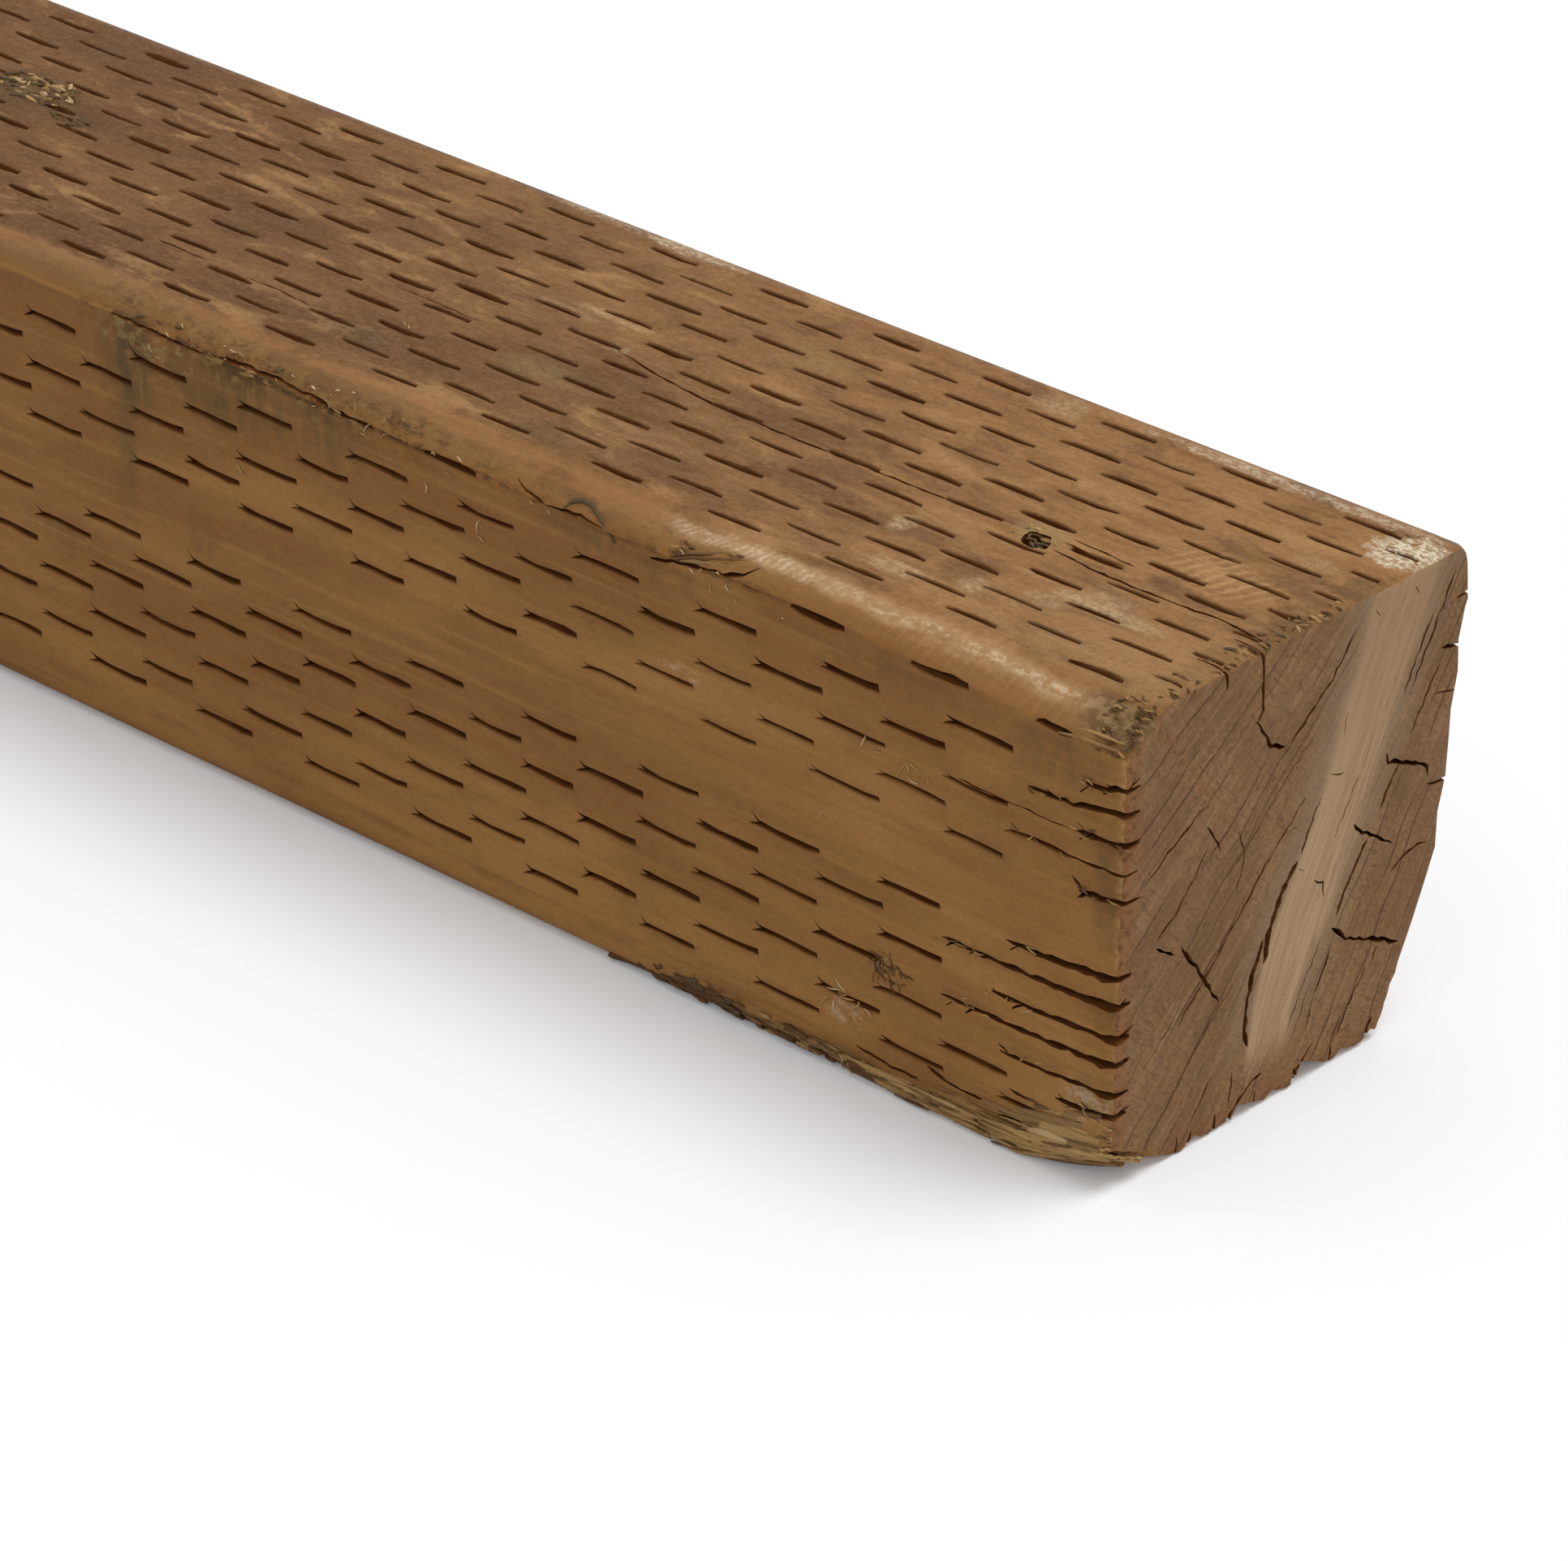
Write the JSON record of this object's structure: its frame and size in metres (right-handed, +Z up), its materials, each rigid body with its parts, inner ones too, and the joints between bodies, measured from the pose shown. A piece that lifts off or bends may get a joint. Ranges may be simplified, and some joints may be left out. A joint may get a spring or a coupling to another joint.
{
  "type": "fence post",
  "caption": "Square sawn softwood fence post, pressure treated and incised, with natural wane on two long edges, lying on its side.",
  "frame": {"origin": "on the underside, at the middle of the post's length and width", "axes": "+X along the post towards its weathered end, +Z up, +Y towards the face with the log surface at its foot"},
  "size_m": [1.829, 0.089, 0.089],
  "materials": {
    "treated_softwood": "sawn, brown preservative stain, matt"
  },
  "bodies": {
    "root": {"post": "treated_softwood"}
  },
  "joints": []
}
